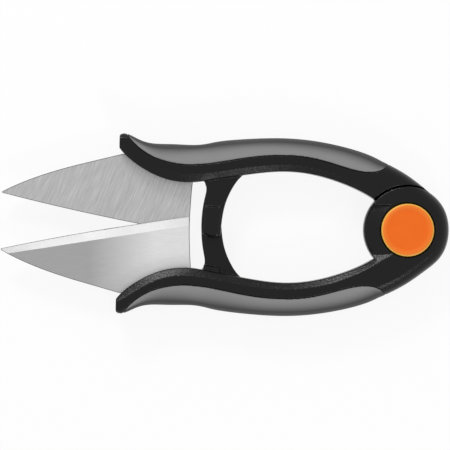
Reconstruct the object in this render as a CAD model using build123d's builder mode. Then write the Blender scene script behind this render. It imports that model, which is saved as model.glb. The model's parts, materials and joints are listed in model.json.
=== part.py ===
from build123d import *

import os
from math import sqrt

# Floral snips: two spring-opened handle arms on one pivot, a blade moulded into each.
#
# Frame: millimetres, +Z up along the pivot axis, the snips lying flat. The origin is on the
# pivot axis at the plane that the snips rest on. The blade tips point to -X. The left arm lies
# on the -Y side and carries the upper knuckle and the upper blade.
#
# The right arm is the same moulding as the left one, turned half a turn about the line along X
# that crosses the pivot at mid-thickness. So the left pieces are modelled, and turned_over gives
# the right ones.

os.makedirs("parts", exist_ok=True)

# ---- Driving dimensions -------------------------------------------------------------------

thickness = 15.0  # both arms and the pivot hub, resting face to upper face
mid = thickness / 2  # plane where the two arms slide on each other
half_gap = 0.15  # from that plane to each arm
over = 1.0  # how far a cutter reaches past the faces that it cuts
sheet = 400.0  # side of a square cutter that is wider than the snips

# Pivot hub
hub_end_x = 15.5
knuckle_radius = 16.1
seat_radius = 16.6  # hollow in one arm that clears the other arm's knuckle
hub_round = 6.0  # outer edge of the hub
scoop_half_width = 9.0  # lowered face of the knuckle towards the finger loop
scoop_drop = 1.9
scoop_rim = 2.0  # rounded edge outside the lowered face
knuckle_bevel = 0.4

# Caps over the two wells in the hub
cap_radius = 9.7
recess_radius = 10.05
recess_depth = 2.0
cap_height = 0.9  # the upper cap stands this far above the hub
cap_rim_radius = 8.6
cap_floor_radius = 6.2
cap_dish = 0.35  # depth of the dish inside the rim
skirt_depth = 2.2
skirt_wall = 1.1

# Wells, pivot and spring
well_radius = 8.8
well_floor = 1.65  # plastic between a well and the sliding plane
bush_radius = 3.5
bolt_radius = 2.5
running_gap = 0.05
head_radius = 4.2
head_height = 2.0
socket_across_flats = 3.0
socket_depth = 1.3
nut_radius = 4.62  # to the corners: 8 mm across flats
nut_height = 2.5
washer_height = 0.5
thrust_inner_radius = 6.8
thrust_outer_radius = 9.5
thrust_seat = 0.35  # depth of the thrust washer's seat in each knuckle
wire_radius = 0.5
coil_radius = 5.2
coil_turns = 2.25
coil_pitch = 1.04
coil_start_angle = 200.0  # of the lower spring leg, seen from above
stop_angle = 8.5  # how far the right arm turns from open to closed

# Tongues that lap behind the blades
tongue_height = 4.4
pad_step = 0.6  # the end of a tongue stands out from its web by this
pad_start = 6.9
tongue_end = 4.4  # a tongue's rounded end lies this far past the middle
tongue_edge_round = 0.8
ledge_height = 3.0  # step on the web that the other tongue stops against

# Blades
blade_thickness = 2.0
blade_gap = 0.05  # from the sliding plane to each blade
edge_land = 0.2  # thickness left at the cutting edge
post_radius = 1.2  # plastic posts that fill the holes in the tang
posts = [(-97.0, -22.0), (-90.0, -20.5), (-83.0, -19.4)]

# The left arm at places along X: the Y of its inner edge, of the crease where the inner bevel
# meets the flat face, of the shoulder where the outer rounding starts, and of its outer edge
stations = [
    (-106.8, -27.8, -29.6, -30.2, -32.6),
    (-104.5, -25.2, -28.4, -30.2, -33.2),
    (-100.0, -21.7, -26.0, -28.6, -31.3),
    (-94.0, -18.4, -22.3, -24.9, -29.8),
    (-84.0, -15.8, -19.6, -22.5, -29.7),
    (-72.0, -17.0, -20.2, -23.2, -30.8),
    (-60.0, -19.0, -22.3, -25.5, -32.3),
    (-47.0, -20.5, -23.5, -26.6, -32.9),
    (-33.0, -19.2, -22.2, -25.3, -31.9),
    (-20.0, -15.0, -18.0, -22.5, -29.2),
    (-10.0, -9.2, -12.6, -18.6, -25.3),
]
bevel_drop = 1.8  # depth of the inner bevel
bevel_width = 3.0  # where the bevel is narrower than this it is also shallower
steepest_round = 6.5  # depth of the outer rounding
band_drop = 0.3  # the hard faces lie this far below the grips
hub_start_x, hub_start_outer = stations[-1][0], stations[-1][4]

# Edge of the left grip, from its thin front end along the shoulder to its round rear end
grip_edge = [
    (-104.6, -33.6),
    (-100.0, -28.4),
    (-94.0, -24.7),
    (-84.0, -22.3),
    (-72.0, -23.0),
    (-60.0, -25.2),
    (-47.0, -26.4),
    (-33.0, -25.1),
    (-21.0, -21.8),
    (-14.5, -20.9),
    (-9.0, -22.4),
    (-7.0, -24.6),
]
grip_skin = 2.6  # soft layer over the moulded rib inside it
rib_overlap = 1.5  # how far the rib's outline reaches back into the moulding


def turned_over(solid):
    """The right arm's copy of a left piece: half a turn about X at the sliding plane."""
    return solid.rotate(Axis((0, 0, mid), (1, 0, 0)), 180)


def save(solid, label):
    """Label one finished piece and write it as its own STEP file."""
    solid.label = label
    export_step(solid, f"parts/{label}.step")


# ---- Blade --------------------------------------------------------------------------------

blade_z = mid + blade_gap
tip = (-150.0, -10.3)
heel = (-80.4, 3.0)

with BuildPart() as bevel_side:
    # everything on the spine side of a ground face that leans from the cutting edge inwards
    for height, start, middle, end in (
        (blade_z + edge_land, (-151.0, -10.5), (-112.0, -2.3), (-79.0, 3.2)),
        (blade_z + blade_thickness, (-151.0, -12.9), (-115.0, -6.3), (-79.0, 0.0)),
    ):
        with BuildSketch(Plane.XY.offset(height)):
            with BuildLine():
                ThreePointArc(start, middle, end)
                Polyline(end, (-77.0, -35.0), (-153.0, -35.0), start)
            make_face()
    loft(ruled=True)

with BuildPart() as left_blade:
    with BuildSketch(Plane.XY.offset(blade_z)) as blade_outline:
        with BuildLine():
            ThreePointArc(tip, (-112.0, -2.3), heel)
            ThreePointArc(heel, (-80.0, -10.0), (-79.0, -21.5))
            Line((-79.0, -21.5), (-81.0, -22.8))
            Spline((-81.0, -22.8), (-96.0, -24.2), (-105.5, -25.8))
            Spline((-105.5, -25.8), (-125.0, -20.6), (-140.0, -15.5), (-150.0, -10.8))
            Line((-150.0, -10.8), tip)
        make_face()
        with Locations(*posts):
            Circle(post_radius, mode=Mode.SUBTRACT)
    extrude(amount=edge_land)
    extrude(blade_outline.sketch, amount=blade_thickness)
    add(bevel_side.part, mode=Mode.INTERSECT)
    extrude(blade_outline.sketch, amount=edge_land)

# ---- The whole left arm, grip included ------------------------------------------------------

with BuildPart() as arm:
    for x, inner, crease, shoulder, outer in stations:
        width = shoulder - outer
        rise = min(steepest_round, 1.05 * width)
        drop = bevel_drop * min(1.0, (inner - crease) / bevel_width)
        with BuildSketch(Plane(origin=(x, 0, 0), x_dir=(0, 1, 0), z_dir=(1, 0, 0))):
            with BuildLine():
                Line((crease, thickness), (shoulder, thickness))
                EllipticalCenterArc((shoulder, thickness - rise), width, rise, 90, arc_size=90)
                Line((outer, thickness - rise), (outer, rise))
                EllipticalCenterArc((shoulder, rise), width, rise, 180, arc_size=90)
                Polyline((shoulder, 0), (crease, 0), (inner, drop))
                Polyline((inner, drop), (inner, thickness - drop), (crease, thickness))
            make_face()
    loft()

with BuildPart() as hub_bevel:
    # the arm's inner bevel, carried on into the hub as far as the scoop
    crease = Line((-17.0, -17.0, thickness), (-4.0, -8.9, thickness), mode=Mode.PRIVATE)
    across = Axis.Z.direction.cross(crease % 0)
    with BuildSketch(Plane(crease @ 0, x_dir=across, z_dir=crease % 0)):
        with BuildLine():
            far_x, far_z = 3 * bevel_width, -3 * bevel_drop
            Polyline((0, 0), (far_x, far_z), (far_x, over), (0, over), close=True)
        make_face()
    extrude(amount=crease.length)
    with BuildSketch():
        with Locations((0, -scoop_half_width - 10)):
            Rectangle(60, 20)
    extrude(amount=2 * thickness, mode=Mode.INTERSECT)

# The hub's rounded outer end is shared out between both arms further down
with BuildPart() as hub:
    with BuildSketch():
        with BuildLine():
            Spline(
                (hub_start_x, hub_start_outer),
                (0, -20.1),
                (7.0, -15.0),
                (12.5, -9.9),
                (hub_end_x, 0),
                (12.5, 9.9),
                (7.0, 15.0),
                (0, 20.1),
                (hub_start_x, -hub_start_outer),
                tangents=((1, 0.44), (-1, 0.44)),
            )
            Line((hub_start_x, -hub_start_outer), (hub_start_x, hub_start_outer))
        make_face()
    extrude(amount=thickness)
    fillet([e for e in hub.edges() if e.geom_type == GeomType.BSPLINE], radius=hub_round)
    with BuildSketch():
        with BuildLine():
            Line((hub_start_x, -12.6), (hub_start_x, 12.6))
            ThreePointArc((hub_start_x, 12.6), (-knuckle_radius, 0), (hub_start_x, -12.6))
        make_face()
    extrude(amount=thickness)
    add(hub_bevel.part, mode=Mode.SUBTRACT)

with BuildPart() as envelope:
    add(arm.part)
    add(hub.part)
    with BuildSketch():
        with Locations((0, 25)):
            Rectangle(60, 50)
    extrude(amount=thickness, mode=Mode.SUBTRACT)

# ---- Grip ---------------------------------------------------------------------------------

with BuildPart() as rib:
    rib_stations = stations[3:-1]
    with BuildSketch(Plane.XY.offset(grip_skin)):
        with BuildLine():
            outside = Spline([(x, outer + grip_skin) for x, _, _, _, outer in rib_stations])
            inside = Spline([(x, shoulder + rib_overlap) for x, _, _, shoulder, _ in rib_stations])
            Line(outside @ 0, inside @ 0)
            Line(outside @ 1, inside @ 1)
        make_face()
    extrude(amount=thickness - 2 * grip_skin)

with BuildPart() as grip_zone:
    with BuildSketch(Plane.XY.offset(-over)):
        with BuildLine():
            Spline(grip_edge)
            Polyline(grip_edge[-1], (-7.0, -40.0), (-104.6, -40.0), grip_edge[0])
        make_face()
    extrude(amount=thickness + 2 * over)

with BuildPart() as left_grip:
    add(envelope.part)
    add(grip_zone.part, mode=Mode.INTERSECT)
    add(rib.part, mode=Mode.SUBTRACT)

# ---- Handle: the hard moulding ------------------------------------------------------------

layer_top = mid - half_gap  # upper face of the lower layer
layer_bottom = mid + half_gap  # lower face of the upper layer
hard_top = thickness - band_drop
well_z = layer_bottom + well_floor
spring_z = well_z + wire_radius + running_gap
coil_end_angle = coil_start_angle - 360 * coil_turns
leg_z = spring_z + coil_pitch * coil_turns
scoop_z = thickness - scoop_drop

with BuildPart() as knuckle:
    add(hub.part)
    with BuildSketch(Plane.XY.offset(layer_bottom)):
        Circle(knuckle_radius)
    extrude(amount=thickness, mode=Mode.INTERSECT)

with BuildPart() as scoop:
    # lowered, cone-shaped face on the finger loop's side of the knuckle, with a rounded rim
    with BuildSketch(Plane.XZ):
        with BuildLine():
            flank = Line((recess_radius, hard_top - 0.2), (knuckle_radius - scoop_rim, scoop_z))
            bend = TangentArc(flank @ 1, (knuckle_radius, scoop_z - scoop_rim), tangent=flank % 1)
            far = knuckle_radius + over
            Polyline(bend @ 1, (far, scoop_z - scoop_rim), (far, thickness + over))
            Polyline((far, thickness + over), (recess_radius, thickness + over), flank @ 0)
        make_face()
    revolve(axis=Axis.Z)
    with BuildSketch():
        with Locations((-knuckle_radius, 0)):
            Rectangle(2 * knuckle_radius - 4, 2 * scoop_half_width)
    extrude(amount=2 * thickness, mode=Mode.INTERSECT)

with BuildPart() as seam_bevel:
    # small bevel on the knuckle's edge where it faces the other arm
    with BuildSketch(Plane.XZ):
        with BuildLine():
            Polyline(
                (knuckle_radius - knuckle_bevel, hard_top),
                (knuckle_radius, hard_top - knuckle_bevel),
                (knuckle_radius + over, thickness),
                close=True,
            )
        make_face()
    revolve(axis=Axis.Z)
    with BuildSketch():
        with Locations((0, scoop_half_width + 10)):
            Rectangle(40, 20)
    extrude(amount=2 * thickness, mode=Mode.INTERSECT)

with BuildPart() as tongue:
    # web and end pad of the lower tongue; the other arm's tongue laps over it
    with BuildSketch(Plane.XY.offset(layer_top - tongue_height)) as tongue_outline:
        with BuildLine():
            front = Spline(
                (-77.2, -17.2), (-75.4, -16.2), (-74.6, -14.6), (-75.0, -10.0), (-76.0, 0), (-75.9, 2.6)
            )
            back = Spline(
                (-58.0, -20.6), (-61.5, -18.4), (-65.3, -13.0), (-67.3, -8.0), (-68.6, 0), (-68.9, 3.6)
            )
            ThreePointArc(front @ 1, (-72.2, tongue_end), back @ 1)
            Line(front @ 0, back @ 0)
        make_face()
    extrude(amount=tongue_height)
    outer_edges = tongue.faces().sort_by(Axis.Z)[0].edges()
    fillet(outer_edges.filter_by(lambda e: e.center().Y > -17), radius=tongue_edge_round)
    pad_z = layer_top - tongue_height - pad_step
    with BuildSketch(Plane.XY.offset(pad_z)):
        with BuildLine():
            Polyline((-75.0, 2.2), (-74.7, -pad_start), (-68.6, -pad_start), (-69.7, 2.8))
            ThreePointArc((-69.7, 2.8), (-72.3, tongue_end - tongue_edge_round), (-75.0, 2.2))
        make_face()
    extrude(amount=tongue_height)

with BuildPart() as ledge:
    with BuildSketch(Plane.XY.offset(layer_top - over)):
        with BuildLine():
            Polyline((-74.9, -14.7), (-69.0, -15.5), (-69.0, -19.5), (-74.9, -19.5), close=True)
        make_face()
    extrude(amount=ledge_height + over)

with BuildPart() as left_handle:
    add(envelope.part)
    add(grip_zone.part, mode=Mode.SUBTRACT)
    add(rib.part)
    add(tongue.part)
    add(ledge.part)
    with BuildSketch(Plane.XY.offset(band_drop)):
        Rectangle(sheet, sheet)
    extrude(amount=thickness - 2 * band_drop, mode=Mode.INTERSECT)
    with BuildSketch():
        Circle(seat_radius)
    extrude(amount=layer_bottom, mode=Mode.SUBTRACT)
    add(knuckle.part)
    with BuildSketch(Plane.XY.offset(hard_top)):
        Rectangle(sheet, sheet)
    extrude(amount=over, mode=Mode.SUBTRACT)
    for cutter in (scoop, seam_bevel, left_blade):
        add(cutter.part, mode=Mode.SUBTRACT)
    # recess for the cap, the well under it, the bore and the thrust washer's seat
    for z, height, radius in (
        (thickness - recess_depth, recess_depth + over, recess_radius),
        (well_z, thickness, well_radius),
        (mid, thickness, bush_radius + running_gap),
    ):
        with BuildSketch(Plane.XY.offset(z)):
            Circle(radius)
        extrude(amount=height, mode=Mode.SUBTRACT)
    with BuildSketch(Plane.XY.offset(mid)):
        Circle(thrust_outer_radius + running_gap)
        Circle(thrust_inner_radius - running_gap, mode=Mode.SUBTRACT)
    extrude(amount=half_gap + thrust_seat, mode=Mode.SUBTRACT)
    # the slot that the other arm's spring leg swings in, and the mirrored hole for that leg
    with BuildSketch(Plane.XY.offset(mid)):
        with BuildLine():
            swing = CenterArc((0, 0), coil_radius, coil_start_angle - 3, stop_angle + 6)
        SlotArc(swing, 2 * wire_radius + 0.4)
        with PolarLocations(coil_radius, 1, start_angle=-coil_start_angle):
            Circle(wire_radius)
    extrude(amount=thickness - mid - recess_depth - 2, mode=Mode.SUBTRACT)
    # the notch in the well's wall for the spring's upper leg
    with BuildSketch(Plane.XY.offset(leg_z - wire_radius)):
        with PolarLocations(well_radius, 1, start_angle=coil_end_angle):
            Rectangle(2.0, 2 * wire_radius)
    extrude(amount=thickness, mode=Mode.SUBTRACT)

# ---- Pivot --------------------------------------------------------------------------------

washer_z = well_z + washer_height
lower_floor_z = thickness - well_z - running_gap
nut_z = lower_floor_z - washer_height

with BuildPart() as pivot_bush:
    with BuildSketch(Plane.XY.offset(lower_floor_z)):
        Circle(bush_radius)
        Circle(bolt_radius + running_gap, mode=Mode.SUBTRACT)
    extrude(amount=well_z - lower_floor_z)

with BuildPart() as head_washer:
    with BuildSketch(Plane.XY.offset(well_z)):
        Circle(head_radius)
        Circle(bolt_radius + running_gap, mode=Mode.SUBTRACT)
    extrude(amount=washer_height)

with BuildPart() as nut_washer:
    with BuildSketch(Plane.XY.offset(nut_z)):
        Circle(nut_radius)
        Circle(bolt_radius + running_gap, mode=Mode.SUBTRACT)
    extrude(amount=washer_height)

with BuildPart() as thrust_washer:
    with BuildSketch(Plane.XY.offset(layer_top - thrust_seat + running_gap)):
        Circle(thrust_outer_radius)
        Circle(thrust_inner_radius, mode=Mode.SUBTRACT)
    extrude(amount=2 * (half_gap + thrust_seat) - running_gap)

with BuildPart() as pivot_nut:
    with BuildSketch(Plane.XY.offset(nut_z - nut_height)):
        RegularPolygon(nut_radius, 6)
        Circle(bolt_radius, mode=Mode.SUBTRACT)
    extrude(amount=nut_height)

with BuildPart() as pivot_bolt:
    with BuildSketch(Plane.XY.offset(nut_z - nut_height - running_gap)):
        Circle(bolt_radius)
    extrude(amount=washer_z - nut_z + nut_height + running_gap)
    with BuildSketch(Plane.XY.offset(washer_z)):
        Circle(head_radius)
    extrude(amount=head_height)
    chamfer(pivot_bolt.faces().sort_by(Axis.Z)[-1].edges(), length=0.4)
    with BuildSketch(Plane.XY.offset(washer_z + head_height)):
        RegularPolygon(socket_across_flats / sqrt(3), 6)
    extrude(amount=-socket_depth, mode=Mode.SUBTRACT)

# ---- Torsion spring -----------------------------------------------------------------------

with BuildPart() as spring:
    with BuildLine():
        coil_height = coil_pitch * coil_turns
        coil = Helix(coil_pitch, coil_height, coil_radius, center=(0, 0, spring_z), lefthand=True)
    with BuildSketch(Plane(coil @ 0, z_dir=coil % 0)):
        Circle(wire_radius)
    sweep(is_frenet=True)
    # the lower leg runs down into the right knuckle, the upper one out into the left knuckle
    with BuildSketch(Plane.XY.offset(lower_floor_z + 2 * running_gap)):
        with Locations((coil_radius, 0)):
            Circle(wire_radius)
    extrude(amount=spring_z - lower_floor_z - 2 * running_gap)
    with Locations((coil @ 0), (coil @ 1)):
        Sphere(wire_radius)
    outward = (coil @ 1 - Vector(0, 0, leg_z)).normalized()
    with BuildSketch(Plane(coil @ 1, z_dir=outward)):
        Circle(wire_radius)
    extrude(amount=well_radius + 0.9 - coil_radius)

# ---- Caps ---------------------------------------------------------------------------------

recess_z = thickness - recess_depth
cap_top = thickness + cap_height

with BuildPart() as skirt:
    with BuildSketch(Plane.XY.offset(recess_z - skirt_depth)):
        Circle(well_radius)
        Circle(well_radius - skirt_wall, mode=Mode.SUBTRACT)
        with PolarLocations(well_radius, 1, start_angle=coil_end_angle):
            Rectangle(4.0, 2 * wire_radius + 0.6, mode=Mode.SUBTRACT)
    extrude(amount=skirt_depth)

with BuildPart() as top_cap:
    with BuildSketch(Plane.XZ):
        with BuildLine():
            wall_top = (cap_radius, thickness - 0.2)
            dish_edge = (cap_floor_radius, cap_top - cap_dish)
            Spline(wall_top, (cap_rim_radius, cap_top), dish_edge, tangents=((0, 1), (-1, 0)))
            Polyline(dish_edge, (0, cap_top - cap_dish), (0, recess_z), (cap_radius, recess_z), wall_top)
        make_face()
    revolve(axis=Axis.Z)
    add(skirt.part)

with BuildPart() as bottom_cap:
    with BuildSketch():
        Circle(cap_radius)
    extrude(amount=recess_depth)
    chamfer(bottom_cap.faces().sort_by(Axis.Z)[0].edges(), length=0.3)
    add(turned_over(skirt.part))

# ---- Write every piece --------------------------------------------------------------------

save(left_handle.part, "left_handle")
save(left_grip.part, "left_grip")
save(left_blade.part, "left_blade")
save(turned_over(left_handle.part), "right_handle")
save(turned_over(left_grip.part), "right_grip")
save(turned_over(left_blade.part), "right_blade")
save(top_cap.part, "top_cap")
save(bottom_cap.part, "bottom_cap")
save(pivot_bolt.part, "pivot_bolt")
save(pivot_nut.part, "pivot_nut")
save(pivot_bush.part, "pivot_bush")
save(head_washer.part, "head_washer")
save(nut_washer.part, "nut_washer")
save(thrust_washer.part, "thrust_washer")
save(spring.part.rotate(Axis.Z, coil_start_angle), "torsion_spring")
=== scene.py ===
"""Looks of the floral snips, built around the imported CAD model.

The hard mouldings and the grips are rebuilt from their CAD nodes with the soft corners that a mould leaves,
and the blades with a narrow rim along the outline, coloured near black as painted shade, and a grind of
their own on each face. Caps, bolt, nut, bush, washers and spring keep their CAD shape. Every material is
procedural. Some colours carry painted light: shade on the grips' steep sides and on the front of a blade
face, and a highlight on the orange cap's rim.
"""

import json
import math

import bmesh
import bpy
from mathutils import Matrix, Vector


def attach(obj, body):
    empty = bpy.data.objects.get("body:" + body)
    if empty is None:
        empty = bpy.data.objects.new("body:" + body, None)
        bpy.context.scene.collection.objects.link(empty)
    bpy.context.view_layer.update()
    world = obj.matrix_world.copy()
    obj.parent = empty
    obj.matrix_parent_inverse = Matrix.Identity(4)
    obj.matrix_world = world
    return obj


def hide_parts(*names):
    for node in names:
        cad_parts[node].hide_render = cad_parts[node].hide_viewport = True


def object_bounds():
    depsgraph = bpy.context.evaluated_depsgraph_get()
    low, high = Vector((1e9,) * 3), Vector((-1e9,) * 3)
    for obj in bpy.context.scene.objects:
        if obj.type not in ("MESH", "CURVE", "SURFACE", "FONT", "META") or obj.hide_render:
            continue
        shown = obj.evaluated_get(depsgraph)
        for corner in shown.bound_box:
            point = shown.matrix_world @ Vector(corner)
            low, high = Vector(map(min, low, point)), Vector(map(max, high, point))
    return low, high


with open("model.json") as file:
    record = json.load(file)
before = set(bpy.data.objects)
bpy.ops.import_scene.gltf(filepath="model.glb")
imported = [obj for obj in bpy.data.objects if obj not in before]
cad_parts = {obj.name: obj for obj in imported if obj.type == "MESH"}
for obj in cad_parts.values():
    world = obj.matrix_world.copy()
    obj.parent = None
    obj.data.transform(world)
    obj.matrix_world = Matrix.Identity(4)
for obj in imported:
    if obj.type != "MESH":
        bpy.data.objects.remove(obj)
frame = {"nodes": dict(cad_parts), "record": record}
nodes = frame["nodes"]
cad_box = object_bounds()
MM = 0.001


# ---- Node helpers ---------------------------------------------------------------------------


class Shader:
    """A small wrapper that adds nodes to one material and links them by socket name."""

    def __init__(self, name, roughness, **sockets):
        self.material = bpy.data.materials.new(name)
        self.material.use_nodes = True
        self.tree = self.material.node_tree
        self.surface = self.tree.nodes["Principled BSDF"]
        self.surface.inputs["Roughness"].default_value = roughness
        for socket, value in sockets.items():
            self.surface.inputs[socket.replace("_", " ")].default_value = value

    def add(self, kind, **settings):
        """A node of that kind. A setting is a property, or the value or source of an input."""
        node = self.tree.nodes.new("ShaderNode" + kind)
        for key, value in settings.items():
            if hasattr(node, key):
                setattr(node, key, value)
            else:
                self.set(node, key.replace("_", " "), value)
        return node

    def set(self, node, socket, value):
        target = node.inputs[int(socket)] if socket.isdigit() else node.inputs[socket]
        if isinstance(value, bpy.types.NodeSocket):
            self.tree.links.new(value, target)
        else:
            target.default_value = value

    def place(self, scale):
        """Object coordinates, scaled. IN_MM counts them in millimetres."""
        coords = self.add("TexCoord")
        mapping = self.add("Mapping", Vector=coords.outputs["Object"])
        mapping.inputs["Scale"].default_value = scale
        return mapping.outputs["Vector"]

    def turned_place(self, rotate, scale):
        """Object coordinates, turned first and scaled after, for marks that run one way."""
        turned = self.add("Mapping", Vector=self.add("TexCoord").outputs["Object"])
        turned.inputs["Rotation"].default_value = rotate
        scaled = self.add("Mapping", Vector=turned.outputs["Vector"])
        scaled.inputs["Scale"].default_value = scale
        return scaled.outputs["Vector"]

    def facing_up(self):
        """1 on level faces of either side, 0 on upright ones."""
        normal = self.add("SeparateXYZ", Vector=self.add("TexCoord").outputs["Normal"])
        return self.combine(normal.outputs["Z"], 0.0, "ABSOLUTE")

    def along_x(self):
        """Place along the tool, in metres."""
        return self.add("SeparateXYZ", Vector=self.add("TexCoord").outputs["Object"]).outputs["X"]

    def noise(self, where, scale, detail, rough):
        node = self.add("TexNoise", Vector=where, Scale=scale, Detail=detail, Roughness=rough)
        return node.outputs["Fac"]

    def spread(self, value, low, high, to_low=0.0, to_high=1.0):
        """Map low..high to to_low..to_high, held at both ends."""
        node = self.add("MapRange")
        self.set(node, "Value", value)
        self.set(node, "From Min", low)
        self.set(node, "From Max", high)
        self.set(node, "To Min", to_low)
        self.set(node, "To Max", to_high)
        return node.outputs["Result"]

    def combine(self, a, b, operation="ADD"):
        """Two numbers put together by a Math node."""
        node = self.add("Math", operation=operation)
        self.set(node, "0", a)
        self.set(node, "1", b)
        return node.outputs["Value"]

    def blend(self, factor, a, b):
        """Colour a where factor is 0, colour b where it is 1."""
        node = self.add("Mix", data_type="RGBA")
        self.set(node, "0", factor)
        self.set(node, "6", a)
        self.set(node, "7", b)
        return node.outputs["Result"] if node.outputs["Result"].enabled else node.outputs[2]

    def bump(self, height, strength, distance):
        """A bump. Its distance is in metres."""
        node = self.add("Bump", Height=height, Strength=strength, Distance=distance)
        return node.outputs["Normal"]

    def finish(self, colour, roughness, normal=None):
        self.set(self.surface, "Base Color", colour)
        self.set(self.surface, "Roughness", roughness)
        if normal is not None:
            self.set(self.surface, "Normal", normal)
        return self.material


def grey(value):
    return (value, value, value, 1.0)


PER_MM = 1 / MM
IN_MM = (PER_MM, PER_MM, PER_MM)


# ---- Materials --------------------------------------------------------------------------------

HANDLE_GRAIN_DEPTH = 0.14 * MM
GRIP_GRAIN_DEPTH = 0.06 * MM
GRIND_MARK_DEPTH = 0.04 * MM
CAP_GRAIN_DEPTH = 0.03 * MM
GRIP_SIDE_LEVEL, GRIP_TOP_LEVEL = 0.66, 0.99  # how level the grip is where its painted side shade ends and its own top colour starts
SATIN_AND_SHADE_FROM, SATIN_AND_SHADE_RUN = -117 * MM, 24 * MM  # where the front blade's polish and its painted shade fade, and over how far
POLISHED_PAINTED_SHADE = 0.56  # painted shade: how much darker the colour is at the front blade's polish end than at its satin end, for its darker reflection
CAP_DISH_EDGE, CAP_RIM, CAP_OUTSIDE = 7.2 * MM, 9.1 * MM, 9.45 * MM
RIM_HIGHLIGHT_TINT, EDGE_HIGHLIGHT_TINT = 0.16, 0.9  # painted highlight: how far the cap's rim and its outer edge go towards the lighter edge colour


def handle_plastic():
    """Black moulded plastic with a fine spark-eroded grain that sparkles where it shines."""
    s = Shader("handle_plastic", roughness=0.45)
    s.surface.inputs["Specular IOR Level"].default_value = 0.21
    where = s.place(IN_MM)
    grain = s.noise(where, 1.5, 3.0, 0.65)
    patches = s.noise(where, 0.12, 3.0, 0.55)
    normal = s.bump(grain, 0.75, HANDLE_GRAIN_DEPTH)
    colour = s.blend(patches, grey(0.0016), grey(0.0030))
    return s.finish(colour, s.spread(grain, 0.3, 0.7, 0.18, 0.30), normal)


def grip_rubber():
    """Soft grey overmould: satin, with a faint bloom and a very fine texture, and painted shade darkening
    its steep sides.
    """
    s = Shader("grip_rubber", roughness=0.6)
    s.surface.inputs["Specular IOR Level"].default_value = 0.35
    where = s.place(IN_MM)
    grain = s.noise(where, 3.0, 2.0, 0.5)
    bloom = s.noise(where, 0.08, 3.0, 0.5)
    normal = s.bump(grain, 0.25, GRIP_GRAIN_DEPTH)
    # painted shade: the steeper the grip's face, the darker its colour, standing in for the shade on its
    # flanks
    level = s.spread(s.facing_up(), GRIP_SIDE_LEVEL, GRIP_TOP_LEVEL)
    top = s.blend(bloom, grey(0.205), grey(0.250))
    colour = s.blend(level, grey(0.040), top)
    return s.finish(colour, s.spread(bloom, 0.3, 0.7, 0.5, 0.62), normal)


def steel_surface(name, angle, streak, shades, roughness, scratch, satin_and_shade_from=None):
    """Ground steel. The grind marks run at the angle, in degrees from +X, and are long and thin.

    streak is their length and width in millimetres. Where a start for the satin is given, the surface turns
    from polish to satin over a short way behind that place along the tool, and its colour turns from a
    painted darker shade, standing in for the darker reflection of the polish end, to its own.
    """
    s = Shader(name, roughness=roughness[0], Metallic=1.0)
    turned = (0, 0, math.radians(-angle))
    along, across = PER_MM / streak[0], PER_MM / streak[1]
    streaks = s.noise(s.turned_place(turned, (along, across, across)), 1.0, 3.0, 0.6)
    fine = s.noise(s.turned_place(turned, (along * 3, across * 2, across)), 1.0, 2.0, 0.5)
    cloud = s.noise(s.place(IN_MM), 0.07, 3.0, 0.5)
    marks = s.combine(s.spread(streaks, 0.25, 0.75, 0, 0.7), s.spread(fine, 0.3, 0.7, 0, 0.3))
    colour = s.blend(marks, grey(shades[0]), grey(shades[1]))
    if satin_and_shade_from is None:
        rough = s.spread(marks, 0, 1, roughness[0], roughness[1])
    else:
        # painted shade: the polish end is coloured darker for its darker reflection; the roughness change
        # along the tool is the real finish
        satin = s.spread(s.along_x(), satin_and_shade_from, satin_and_shade_from + SATIN_AND_SHADE_RUN)
        polished = s.blend(marks, grey(shades[0] * POLISHED_PAINTED_SHADE), grey(shades[1] * POLISHED_PAINTED_SHADE))
        colour = s.blend(satin, polished, colour)
        rough = s.spread(satin, 0, 1, roughness[0], roughness[1])
    rough = s.combine(rough, s.spread(cloud, 0.3, 0.7, -0.02, 0.02))
    return s.finish(colour, rough, s.bump(marks, scratch, GRIND_MARK_DEPTH))


def cap_plastic(name, low, high, edge=None):
    """Moulded cap plastic. Where edge is given, the rim and its outer edge are coloured lighter towards it,
    as a painted highlight.
    """
    s = Shader(name, roughness=0.35)
    s.surface.inputs["Specular IOR Level"].default_value = 0.2
    where = s.place(IN_MM)
    cloud = s.noise(where, 0.3, 3.0, 0.5)
    speck = s.noise(where, 6.0, 2.0, 0.5)
    colour = s.blend(cloud, low, high)
    if edge is not None:
        from_axis = s.add("VectorMath", operation="LENGTH")
        flat = s.add("Mapping", Vector=s.add("TexCoord").outputs["Object"])
        flat.inputs["Scale"].default_value = (1, 1, 0)
        s.set(from_axis, "0", flat.outputs["Vector"])
        radius = from_axis.outputs["Value"]
        # painted highlight: lighter and yellower towards the rim and most at its outer edge, for the light
        # that the rim catches
        colour = s.blend(s.spread(radius, CAP_DISH_EDGE, CAP_RIM, 0, RIM_HIGHLIGHT_TINT), colour, edge)
        colour = s.blend(s.spread(radius, CAP_RIM, CAP_OUTSIDE, 0, EDGE_HIGHLIGHT_TINT), colour, edge)
    return s.finish(colour, s.spread(speck, 0.3, 0.7, 0.30, 0.40), s.bump(speck, 0.2, CAP_GRAIN_DEPTH))


def plated_steel():
    s = Shader("pivot_steel", roughness=0.3, Metallic=1.0)
    where = s.place(IN_MM)
    wear = s.noise(where, 1.5, 4.0, 0.6)
    return s.finish(s.blend(wear, grey(0.45), grey(0.62)), s.spread(wear, 0.3, 0.7, 0.25, 0.45))


ORANGE = (0.84, 0.140, 0.007, 1.0), (0.89, 0.160, 0.011, 1.0)
BLACK = grey(0.008), grey(0.012)
WHITE = grey(0.68), grey(0.74)

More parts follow.
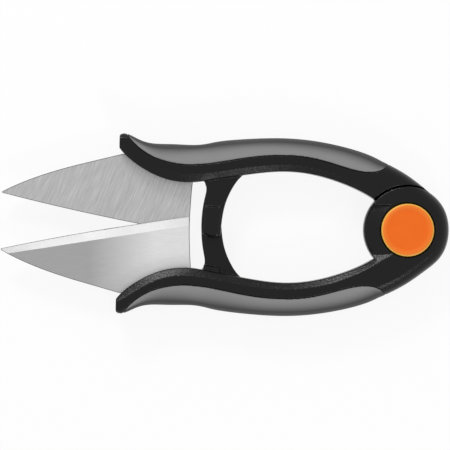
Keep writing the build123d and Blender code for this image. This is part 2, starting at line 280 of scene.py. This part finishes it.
plastic = handle_plastic()
rubber = grip_rubber()
steel = steel_surface("blade_steel", 8, (5.0, 0.3), (0.57, 0.66), (0.37, 0.54), 0.12, satin_and_shade_from=SATIN_AND_SHADE_FROM)
steel_back = steel_surface("blade_steel_back", 68, (10.0, 0.3), (0.30, 0.54), (0.41, 0.47), 0.3)
steel_grind = steel_surface("blade_steel_grind", 84, (3.0, 0.3), (0.38, 0.56), (0.56, 0.66), 0.3)
# painted shade: the blade's rim is coloured near black to draw the dark line that its edge shows in shade
steel_rim_painted_shade = steel_surface("blade_steel_rim_painted_shade", 0, (2.0, 0.4), (0.05, 0.12), (0.45, 0.60), 0.3)
steel_side = steel_surface("blade_steel_side", 90, (2.0, 0.3), (0.16, 0.30), (0.40, 0.55), 0.3)
# painted highlight: the pale edge colour lights up the cap's rim
orange = cap_plastic("cap_orange", *ORANGE, edge=(0.98, 0.60, 0.11, 1.0))
black_cap = cap_plastic("cap_black", *BLACK)
slippery = cap_plastic("slip_plastic", *WHITE)
plated = plated_steel()

MATERIALS = {
    "handle_plastic": plastic,
    "grip_rubber": rubber,
    "blade_steel": steel,
    "cap_orange": orange,
    "cap_black": black_cap,
    "pivot_steel": plated,
    "spring_steel": plated,
    "slip_plastic": slippery,
}

SLOT_OF = {s["node"]: s["material_slot"] for s in frame["record"]["subparts"]}
for name, obj in nodes.items():
    for slot in obj.material_slots:
        slot.material = MATERIALS[SLOT_OF[name]]


# ---- Mouldings with soft corners --------------------------------------------------------------


VOXEL = 0.25 * MM
HANDLE_SMOOTHING, GRIP_SMOOTHING = 6, 24
KEPT_FACES = 0.55


def soft_copy(node, name, body, smoothing):
    """A copy of a CAD node with its corners rounded as a mould leaves them."""
    obj = bpy.data.objects.new(name, nodes[node].data.copy())
    bpy.context.scene.collection.objects.link(obj)
    obj.data.normals_split_custom_set([(0, 0, 0)] * len(obj.data.loops))
    remesh = obj.modifiers.new("remesh", "REMESH")
    remesh.mode = "VOXEL"
    remesh.voxel_size = VOXEL
    remesh.use_smooth_shade = True
    smooth = obj.modifiers.new("smooth", "SMOOTH")
    smooth.factor = 0.5
    smooth.iterations = smoothing
    thin_out = obj.modifiers.new("thin_out", "DECIMATE")
    thin_out.ratio = KEPT_FACES
    graph = bpy.context.evaluated_depsgraph_get()
    mesh = bpy.data.meshes.new_from_object(obj.evaluated_get(graph))
    obj.modifiers.clear()
    obj.data = mesh
    mesh.materials.clear()
    mesh.materials.append(MATERIALS[SLOT_OF[node]])
    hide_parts(node)
    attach(obj, body)


for side in ("left", "right"):
    soft_copy(side + "_handle", side + "_handle_moulding", side + "_arm", HANDLE_SMOOTHING)
    soft_copy(side + "_grip", side + "_grip_overmould", side + "_arm", GRIP_SMOOTHING)


# ---- Blades -------------------------------------------------------------------------------------

SAME_PLACE = 0.001 * MM
SAME_PLANE = math.radians(1)
RIM_WIDTH = 0.22 * MM
RIM_DROP = 0.06 * MM
FLAT_FACE = 0.999  # a face is flat where its normal's Z is above this
GRIND_FACE = 0.5  # and part of the blade's face, not its side, above this
BLADE_MATERIALS = (steel, steel_grind, steel_back, steel_rim_painted_shade, steel_side)
FACE, GRIND, BACK, RIM, SIDE = range(5)  # their places in that order


def ground_blade(side, front):
    """A blade with a narrow rim along its outline, coloured near black as painted shade, and its own grind
    on each face.

    front is +1 where the ground bevel is on the upper face and -1 where it is on the lower one.
    """
    node = side + "_blade"
    obj = bpy.data.objects.new(side + "_ground_blade", nodes[node].data.copy())
    bpy.context.scene.collection.objects.link(obj)
    mesh = bmesh.new()
    mesh.from_mesh(obj.data)
    bmesh.ops.remove_doubles(mesh, verts=mesh.verts, dist=SAME_PLACE)
    bmesh.ops.dissolve_limit(mesh, angle_limit=SAME_PLANE, verts=mesh.verts, edges=mesh.edges)
    for face in mesh.faces:
        face.material_index = SIDE
    for way in (1, -1):
        region = [f for f in mesh.faces if f.normal.z * way > GRIND_FACE]
        inside = set(region)
        rim = {
            vert
            for face in region
            for vert in face.verts
            for edge in vert.link_edges
            if not inside.issuperset(edge.link_faces)
        }
        ring = bmesh.ops.inset_region(
            mesh, faces=region, thickness=RIM_WIDTH, use_boundary=True, use_even_offset=False
        )["faces"]
        for vert in rim:
            vert.co.z -= way * RIM_DROP
        for face in region:
            flat = abs(face.normal.z) > FLAT_FACE
            if way != front:
                face.material_index = BACK
            elif flat:
                face.material_index = FACE
            else:
                face.material_index = GRIND
        # the rim takes the near-black painted shade
        for face in ring:
            face.material_index = RIM
    obj.data.materials.clear()
    for material in BLADE_MATERIALS:
        obj.data.materials.append(material)
    mesh.to_mesh(obj.data)
    mesh.free()
    obj.data.normals_split_custom_set([(0, 0, 0)] * len(obj.data.loops))
    obj.data.shade_flat()
    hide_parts(node)
    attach(obj, side + "_arm")


ground_blade("left", 1)
ground_blade("right", -1)


# ---- Floor, world, lights and camera ----------------------------------------------------------

low, high = cad_box
middle = (Vector(low) + Vector(high)) / 2
FLOOR_SIZE = 6.0
FLOOR_GAP = 0.2 * MM
FLOOR_PLAIN_SHARE = 0.89  # of plain white in what the camera sees of the floor; the rest keeps the shadow
WORLD_LEVEL = 0.58  # with the two lamps, this lights a white card at about 1
LAMP_DISTANCE = 0.7


def floor_material():
    """White floor: mostly plain white to the camera, with part of the soft shadow kept."""
    s = Shader("floor_white", roughness=0.9)
    light_path = s.add("LightPath")
    seen = s.combine(light_path.outputs["Is Camera Ray"], light_path.outputs["Is Glossy Ray"], "MAXIMUM")
    seen = s.combine(seen, light_path.outputs["Is Transmission Ray"], "MAXIMUM")
    s.set(s.surface, "Base Color", s.blend(seen, grey(0.20), grey(0.9)))
    plain = s.add("Emission", Color=grey(1.0), Strength=1.0)
    mix = s.add("MixShader")
    s.set(mix, "0", s.combine(seen, FLOOR_PLAIN_SHARE, "MULTIPLY"))
    s.set(mix, "1", s.surface.outputs["BSDF"])
    s.set(mix, "2", plain.outputs["Emission"])
    s.set(s.tree.nodes["Material Output"], "Surface", mix.outputs["Shader"])
    return s.material


bpy.ops.mesh.primitive_plane_add(size=FLOOR_SIZE, location=(middle.x, middle.y, low[2] - FLOOR_GAP))
floor = bpy.context.object
floor.name = "floor"
floor.data.materials.append(floor_material())


def set_world():
    world = bpy.data.worlds.new("studio")
    bpy.context.scene.world = world
    world.use_nodes = True
    tree = world.node_tree
    background = tree.nodes["Background"]
    light_path = tree.nodes.new("ShaderNodeLightPath")
    seen = None
    for ray in ("Is Camera Ray", "Is Glossy Ray", "Is Transmission Ray"):
        output = light_path.outputs[ray]
        if seen is None:
            seen = output
            continue
        either = tree.nodes.new("ShaderNodeMath")
        either.operation = "MAXIMUM"
        tree.links.new(seen, either.inputs[0])
        tree.links.new(output, either.inputs[1])
        seen = either.outputs[0]
    strength = tree.nodes.new("ShaderNodeMapRange")
    strength.inputs["To Min"].default_value = WORLD_LEVEL
    strength.inputs["To Max"].default_value = 1.0
    tree.links.new(seen, strength.inputs["Value"])
    tree.links.new(strength.outputs["Result"], background.inputs["Strength"])
    background.inputs["Color"].default_value = (1, 1, 1, 1)


def softbox(name, azimuth, elevation, width, height, radiance):
    """A flat lamp that looks at the middle of the object. Its power follows from its radiance."""
    data = bpy.data.lights.new(name, "AREA")
    data.shape = "RECTANGLE"
    data.size = width
    data.size_y = height
    data.energy = radiance * math.pi * width * height
    lamp = bpy.data.objects.new(name, data)
    bpy.context.scene.collection.objects.link(lamp)
    a, e = math.radians(azimuth), math.radians(elevation)
    offset = Vector((math.cos(a) * math.cos(e), math.sin(a) * math.cos(e), math.sin(e))) * LAMP_DISTANCE
    lamp.location = middle + offset
    lamp.rotation_euler = (-offset).to_track_quat("-Z", "Y").to_euler()


set_world()
# both lamps stand between the usual viewing directions, so that the blades rarely mirror them
softbox("key_strip", azimuth=112, elevation=37, width=0.20, height=0.13, radiance=28)
softbox("fill_strip", azimuth=-66, elevation=37, width=0.12, height=0.10, radiance=28)

FIELD = 0.1665  # width that the photograph's frame covers at mid height
TILT = math.radians(1.35)
LENS, SENSOR = 250.0, 36.0
CAMERA_Y = 0.3 * MM
CLIP_END = 20.0
camera_data = bpy.data.cameras.new("camera")
camera_data.lens = LENS
camera_data.sensor_width = SENSOR
camera_data.clip_end = CLIP_END
camera = bpy.data.objects.new("camera", camera_data)
bpy.context.scene.collection.objects.link(camera)
camera.location = (middle.x, CAMERA_Y, middle.z + FIELD * LENS / SENSOR)
camera.rotation_euler = (0, 0, TILT)
bpy.context.scene.camera = camera
bpy.context.scene.view_settings.view_transform = "Standard"
